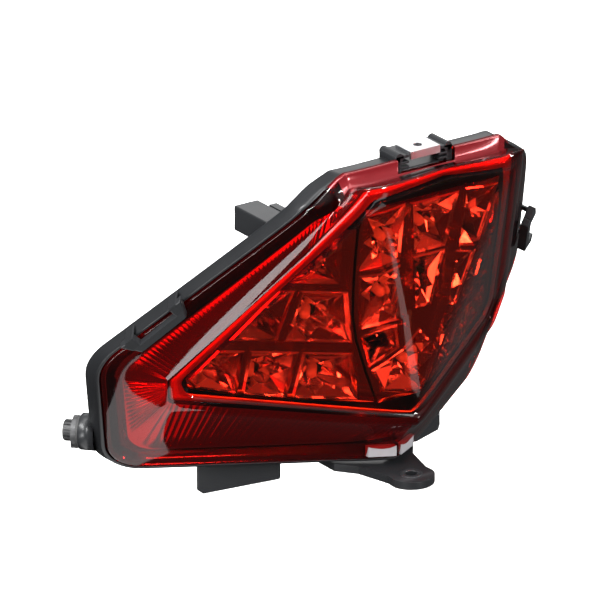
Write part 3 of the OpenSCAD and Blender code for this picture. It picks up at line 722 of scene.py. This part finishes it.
# ---- Bezel --------------------------------------------------------------------------------------
# A thin plastic frame behind the edge of the window, metallised in orange-red. It hides the gap
# between the reflectors and the lens, and shows as a fine line round the window.
def metallised(name, colour, roughness, ripple_size, ripple_depth):
    """Bright metal, plated or evaporated on: nearly a mirror, with slight waves and dull patches."""
    metal = bpy.data.materials.new(name)
    metal.use_nodes = True
    tree = metal.node_tree
    nodes, links = tree.nodes, tree.links
    nodes.clear()
    place = nodes.new("ShaderNodeTexCoord")
    place.label, place.location = "place on the piece", (-1000, 0)
    wave_frame = nodes.new("NodeFrame")
    wave_frame.label, wave_frame.location = "waves under the metal", (-800, -300)
    wave = nodes.new("ShaderNodeTexNoise")
    wave.label, wave.location, wave.parent = "waves of the moulding", (-800, -300), wave_frame
    wave_bump = nodes.new("ShaderNodeBump")
    wave_bump.label, wave_bump.location, wave_bump.parent = "height of the waves", (-550, -300), wave_frame
    haze_frame = nodes.new("NodeFrame")
    haze_frame.label, haze_frame.location = "dull patches", (-800, 100)
    haze = nodes.new("ShaderNodeTexNoise")
    haze.label, haze.location, haze.parent = "thin places in the metal", (-800, 100), haze_frame
    dull = nodes.new("ShaderNodeMapRange")
    dull.label, dull.location, dull.parent = "bright to dull", (-550, 100), haze_frame
    bsdf = nodes.new("ShaderNodeBsdfPrincipled")
    bsdf.label, bsdf.location = "metal film", (-200, 0)
    out = nodes.new("ShaderNodeOutputMaterial")
    out.label, out.location = "surface", (150, 0)
    wave.inputs["Scale"].default_value = 1 / (ripple_size * MM)
    wave_bump.inputs["Strength"].default_value = ripple_depth
    wave_bump.inputs["Distance"].default_value = 0.1 * MM
    haze.inputs["Scale"].default_value = 90
    dull.inputs["To Min"].default_value = 0.6 * roughness
    dull.inputs["To Max"].default_value = 1.5 * roughness
    bsdf.inputs["Base Color"].default_value = (*colour, 1)
    bsdf.inputs["Metallic"].default_value = 1
    links.new(place.outputs["Object"], wave.inputs["Vector"])
    links.new(wave.outputs["Fac"], wave_bump.inputs["Height"])
    links.new(wave_bump.outputs["Normal"], bsdf.inputs["Normal"])
    links.new(place.outputs["Object"], haze.inputs["Vector"])
    links.new(haze.outputs["Fac"], dull.inputs["Value"])
    links.new(dull.outputs["Result"], bsdf.inputs["Roughness"])
    links.new(bsdf.outputs["BSDF"], out.inputs["Surface"])
    return metal


bezel_steps = (8, [16, 10, 30, 10, 26, 6])


def bezel_ring(outline, d, depth):
    return on_face(loop_of(inset(outline, d), *bezel_steps), depth)


bezel = loft("bezel_frame", [
    bezel_ring(crest_outline, 4.2, 4.6), bezel_ring(window_outline, -0.2, 4.6),
    bezel_ring(window_outline, 0.4, 5.0), bezel_ring(window_outline, 0.4, 5.8),
    bezel_ring(window_outline, 0.2, 6.1), bezel_ring(crest_outline, 4.2, 6.1)],
    closed=True)
bezel.data.materials.append(metallised("bezel_red", (0.98, 0.50, 0.22), 0.42, 6, 0.2))
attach(bezel, "root")
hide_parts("bezel")


# ---- Reflectors ---------------------------------------------------------------------------------
# Three trays of moulded plastic with evaporated aluminium on them: one in each wing, and one behind
# the nose. Every cell is a faceted bowl round its diode, with a bright chamfer at its mouth.
tray_front, tray_depth, tray_floor, tray_wall = 6.0, 14.0, 1.6, 0.8
bowl_depth = tray_depth - tray_floor
lip, skirt_depth, facet_width, diode_clear_r = 0.7, 7, 8.5, 3.7
centre_normal = Vector((0, 1, FACE_LEAN)).normalized()
wing_normal = Vector((-WING_SLOPE, 1, FACE_LEAN + WING_SLOPE * FOLD_SPREAD)).normalized()
rib_line = [(36.9, 130), (34.8, 113.6), (32.3, 96.8), (29.9, 82.9), (26, 69), (19.1, 50.9), (12.7, 35.7)]
wing_edge = ([(43.7, 130), (82.5, 45.5), (80, 39.5), (54, 34.5), (13.8, 34.5)]
             + [(x + 1, z) for x, z in reversed(rib_line)])
middle_half = [(36.6, 141)] + rib_line + [(12, 34)]
wing_cells = [
    [(39.5, 101), (56, 101), (43, 128)],
    [(35, 95), (50.5, 95), (51.5, 68), (28.5, 68)],
    [(53.5, 95), (58.5, 95), (70, 68), (54.5, 68)],
    [(27, 61), (43, 61), (42.5, 36), (20, 36)],
    [(46, 61), (62, 61), (60.5, 37.5), (45.5, 36)],
    [(65, 61), (73.5, 61), (80.5, 45), (78, 40.5), (63.5, 38)]]
half_cells = [
    [(17, 139.5), (35.5, 137.2), (33, 107.5), (16.3, 111)],
    [(15.8, 108), (31.6, 104), (26.2, 75.5), (13.8, 80.5)],
    [(13.8, 77), (24.3, 70.5), (18.8, 54.8), (10.8, 65.5)]]
half_leds = [(20.5, 122), (17.2, 93), None]
vee_cells = [
    [(-12.5, 138.8), (12.5, 138.8), (8.6, 113), (-8.6, 113)],
    [(-8.2, 110.5), (8.2, 110.5), (4.2, 84), (-4.2, 84)]]
nose_cell = [(-8, 63.5), (0, 72), (8, 63.5), (17.2, 52), (11.5, 41), (-11.5, 41), (-17.2, 52)]
floor_drop = tray_depth + 1 - bowl_depth


def middle(cell):
    """Where the diode stands in a wing cell."""
    box = [[p[k] for p in cell] for k in (0, 1)]
    centre = [(max(v) + min(v)) / 2 for v in box]
    return (centre[0] - 1.5, centre[1] - 5) if len(cell) == 3 else tuple(centre)


def widened(cell, d):
    """The corners of a cell, moved outwards by d."""
    moved = []
    for i, here in enumerate(cell):
        a, b, c = Vector(cell[i - 1]), Vector(here), Vector(cell[(i + 1) % len(cell)])
        n1, n2 = -inward(a, b), -inward(b, c)
        moved.append(b + d * (n1 + n2) / (1 + n1.dot(n2)))
    return moved


def reflector(name, outline, cells, normal, plane_y, facets_seed):
    """A thin metallised sheet: a flat web between the cells, a skirt round it, and faceted bowls."""
    draw = random.Random(facets_seed)
    bm = bmesh.new()

    def point(x, z, depth):
        return bm.verts.new(Vector((x, plane_y(x, z) + tray_front + depth, z)) * MM)

    web = [[Vector((x, z, 0)) for x, z in outline]]
    web_verts = [[point(x, z, 0) for x, z in outline]]
    skirt = [point(x, z, skirt_depth) for x, z in outline]
    for i in range(len(skirt)):
        k = (i + 1) % len(skirt)
        bm.faces.new((web_verts[0][i], web_verts[0][k], skirt[k], skirt[i]))
    for cell, led in cells:
        centre = sum((Vector(p) for p in cell), Vector((0, 0))) / len(cell)
        wide = widened(cell, lip)
        foot, mouth = [], []
        for i, p in enumerate(cell):
            q = cell[(i + 1) % len(cell)]
            parts = max(1, round(math.dist(p, q) / facet_width))
            mouth += [Vector(p).lerp(Vector(q), k / parts) for k in range(parts)]
            foot += [wide[i].lerp(wide[(i + 1) % len(cell)], k / parts) for k in range(parts)]
        web.append([Vector((p.x, p.y, 0)) for p in foot])
        rows = [[point(p.x, p.y, 0) for p in foot]]
        web_verts.append(rows[0])
        rows.append([point(p.x, p.y, -lip) for p in mouth])
        rows.append([point(*p.lerp(centre, 0.06), 0.9) for p in mouth])
        slant = Vector((normal.x, normal.z)) * (floor_drop * normal.y)
        bottom = centre if led is None else Vector(led) - slant
        star = []
        for k, p in enumerate(mouth):
            away, deep = (0.50, 0.42) if k % 2 else (0.36, 0.78)
            spread = p.lerp(bottom, away + draw.uniform(-0.05, 0.05))
            star.append(point(spread.x, spread.y, bowl_depth * (deep + draw.uniform(-0.06, 0.06))))
        rows.append(star)
        ring = []
        for p in mouth:
            heading = (p - bottom).normalized() * diode_clear_r
            ring.append(point(bottom.x + heading.x, bottom.y + heading.y, bowl_depth - 0.2))
        rows.append(ring)
        for a, b in zip(rows, rows[1:]):
            for i in range(len(a)):
                k = (i + 1) % len(a)
                if i % 2:
                    bm.faces.new((a[i], a[k], b[i]))
                    bm.faces.new((a[k], b[k], b[i]))
                else:
                    bm.faces.new((a[i], a[k], b[k]))
                    bm.faces.new((a[i], b[k], b[i]))
    flat = [v for row in web_verts for v in row]
    for tri in tessellate_polygon(web):
        bm.faces.new([flat[i] for i in tri])
    bmesh.ops.recalc_face_normals(bm, faces=bm.faces)
    bm.faces.ensure_lookup_table()
    if bm.faces[-1].normal.y > 0:
        bmesh.ops.reverse_faces(bm, faces=bm.faces)
    mesh = bpy.data.meshes.new(name)
    bm.to_mesh(mesh)
    bm.free()
    piece = bpy.data.objects.new(name, mesh)
    scene.collection.objects.link(piece)
    wall = piece.modifiers.new("wall", "SOLIDIFY")
    wall.thickness, wall.offset = tray_wall * MM, -1
    piece.data.materials.append(reflector_metal)
    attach(piece, "root")
    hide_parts(name[:-len("_tray")])


def mirrored_xz(points):
    return [(-x, z) for x, z in reversed(points)]


def folded_y(x, z):
    return NOSE_Y - FACE_LEAN * (z - NOSE_Z) + WING_SLOPE * max(0, abs(x) - FOLD_SPREAD * (z - NOSE_Z))


reflector_metal = metallised("reflector_metal", (0.90, 0.86, 0.84), 0.10, 4, 0.25)
reflector("reflector_right_tray", wing_edge, [(c, middle(c)) for c in wing_cells],
          wing_normal, folded_y, 5)
left_normal = Vector((-wing_normal.x, wing_normal.y, wing_normal.z))
reflector("reflector_left_tray", mirrored_xz(wing_edge),
          [(mirrored_xz(c), (-middle(c)[0], middle(c)[1])) for c in wing_cells], left_normal, folded_y, 8)
middle_cells = (list(zip(half_cells, half_leds))
                + [(mirrored_xz(c), led and (-led[0], led[1])) for c, led in zip(half_cells, half_leds)]
                + [(vee_cells[0], (0, 125)), (vee_cells[1], None), (nose_cell, (0, 55))])
reflector("reflector_centre_tray", middle_half + mirrored_xz(middle_half), middle_cells,
          centre_normal, folded_y, 11)


# ---- Diodes, bulbs and the licence window -------------------------------------------------------
# Cast clear resin round each diode, drawn glass round each side bulb, and the clear acrylic panes in
# the bottom of the lens that light the number plate.
def clear_cast(name, tint, roughness, cloudiness):
    """Clear cast or drawn material with a faint tint, slight clouds and a polished face."""
    clear = bpy.data.materials.new(name)
    clear.use_nodes = True
    tree = clear.node_tree
    nodes, links = tree.nodes, tree.links
    nodes.clear()
    place = nodes.new("ShaderNodeTexCoord")
    place.label, place.location = "place on the piece", (-1000, 0)
    cloud_frame = nodes.new("NodeFrame")
    cloud_frame.label, cloud_frame.location = "clouds in the cast", (-800, 100)
    cloud = nodes.new("ShaderNodeTexNoise")
    cloud.label, cloud.location, cloud.parent = "clouds", (-800, 100), cloud_frame
    shade = nodes.new("ShaderNodeValToRGB")
    shade.label, shade.location, shade.parent = "cloudy to clear", (-550, 100), cloud_frame
    swirl_frame = nodes.new("NodeFrame")
    swirl_frame.label, swirl_frame.location = "uneven surface", (-800, -300)
    swirl_bump = nodes.new("ShaderNodeBump")
    swirl_bump.label, swirl_bump.location, swirl_bump.parent = "slight waves", (-550, -300), swirl_frame
    bsdf = nodes.new("ShaderNodeBsdfPrincipled")
    bsdf.label, bsdf.location = "clear body", (-200, 0)
    out = nodes.new("ShaderNodeOutputMaterial")
    out.label, out.location = "surface", (150, 0)
    cloud.inputs["Scale"].default_value = 350
    shade.color_ramp.elements[0].color = (*[cloudiness * c for c in tint], 1)
    shade.color_ramp.elements[1].color = (*tint, 1)
    swirl_bump.inputs["Strength"].default_value = 0.15
    swirl_bump.inputs["Distance"].default_value = 0.1 * MM
    bsdf.inputs["Roughness"].default_value = roughness
    bsdf.inputs["IOR"].default_value = 1.5
    bsdf.inputs["Transmission Weight"].default_value = 0.35
    links.new(place.outputs["Object"], cloud.inputs["Vector"])
    links.new(cloud.outputs["Fac"], shade.inputs["Fac"])
    links.new(shade.outputs["Color"], bsdf.inputs["Base Color"])
    links.new(cloud.outputs["Fac"], swirl_bump.inputs["Height"])
    links.new(swirl_bump.outputs["Normal"], bsdf.inputs["Normal"])
    links.new(bsdf.outputs["BSDF"], out.inputs["Surface"])
    return clear


def finish_nodes(material, *names):
    """Give CAD nodes that are shown as they are their finish."""
    for name in names:
        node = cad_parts[name]
        node.data.materials.clear()
        node.data.materials.append(material)


finish_nodes(clear_cast("led_resin", (0.95, 0.86, 0.66), 0.12, 0.8),
             "leds_left", "leds_right", "leds_centre", "licence_leds")
finish_nodes(clear_cast("bulb_glass", (0.96, 0.95, 0.92), 0.05, 0.92), "left_bulb", "right_bulb")
finish_nodes(clear_cast("clear_lens", (0.42, 0.42, 0.44), 0.12, 0.9), "licence_window")


# ---- Circuit boards -----------------------------------------------------------------------------
# Glass-fibre boards behind the reflectors, with green solder mask over copper tracks.
board = bpy.data.materials.new("circuit_board")
board.use_nodes = True
nodes, links = board.node_tree.nodes, board.node_tree.links
nodes.clear()
place = nodes.new("ShaderNodeTexCoord")
place.label, place.location = "place on the board", (-1000, 0)
track_frame = nodes.new("NodeFrame")
track_frame.label, track_frame.location = "copper tracks under the mask", (-800, 100)
tracks = nodes.new("ShaderNodeTexBrick")
tracks.label, tracks.location, tracks.parent = "layout of the tracks", (-800, 100), track_frame
track_bump = nodes.new("ShaderNodeBump")
track_bump.label, track_bump.location = "thickness of the copper", (-550, -100)
track_bump.parent = track_frame
mask = nodes.new("ShaderNodeBsdfPrincipled")
mask.label, mask.location = "solder mask", (-200, 0)
out = nodes.new("ShaderNodeOutputMaterial")
out.label, out.location = "surface", (150, 0)
tracks.inputs["Scale"].default_value = 120
tracks.inputs["Color1"].default_value = (0.01, 0.10, 0.045, 1)
tracks.inputs["Color2"].default_value = (0.012, 0.13, 0.055, 1)
tracks.inputs["Mortar"].default_value = (0.03, 0.24, 0.10, 1)
track_bump.inputs["Distance"].default_value = 0.05 * MM
mask.inputs["Roughness"].default_value = 0.32
links.new(place.outputs["Object"], tracks.inputs["Vector"])
links.new(tracks.outputs["Color"], mask.inputs["Base Color"])
links.new(tracks.outputs["Fac"], track_bump.inputs["Height"])
links.new(track_bump.outputs["Normal"], mask.inputs["Normal"])
links.new(mask.outputs["BSDF"], out.inputs["Surface"])
finish_nodes(board, "board_left", "board_right", "board_centre", "licence_board")


# ---- Metal parts --------------------------------------------------------------------------------
# Zinc-plated steel for the screws and the clip nut, and tinned brass for the pins and the contacts.
finish_nodes(metallised("zinc_steel", (0.66, 0.67, 0.69), 0.28, 0.8, 0.35), "board_screws", "clip_nut")
finish_nodes(metallised("brass_pin", (0.80, 0.62, 0.32), 0.25, 1.5, 0.2), "connector_pins", "left_contacts",
             "right_contacts")


# ---- Rubber and the bulb holders ----------------------------------------------------------------
# The lens bead, the vent cap and the holder seals are soft black rubber. The twist-lock holders are
# moulded in a harder, slightly glossier black plastic.
finish_nodes(moulded_black("seal_rubber", (0.022, 0.022, 0.022), 0.68, 0.25, 0.5, 0.08),
             "lens_seal", "breather_cap", "left_socket_seal", "right_socket_seal")
finish_nodes(moulded_black("socket_black", (0.02, 0.02, 0.021), 0.42, 0.3, 0.3, 0.06),
             "left_socket", "right_socket")


bpy.context.view_layer.update()
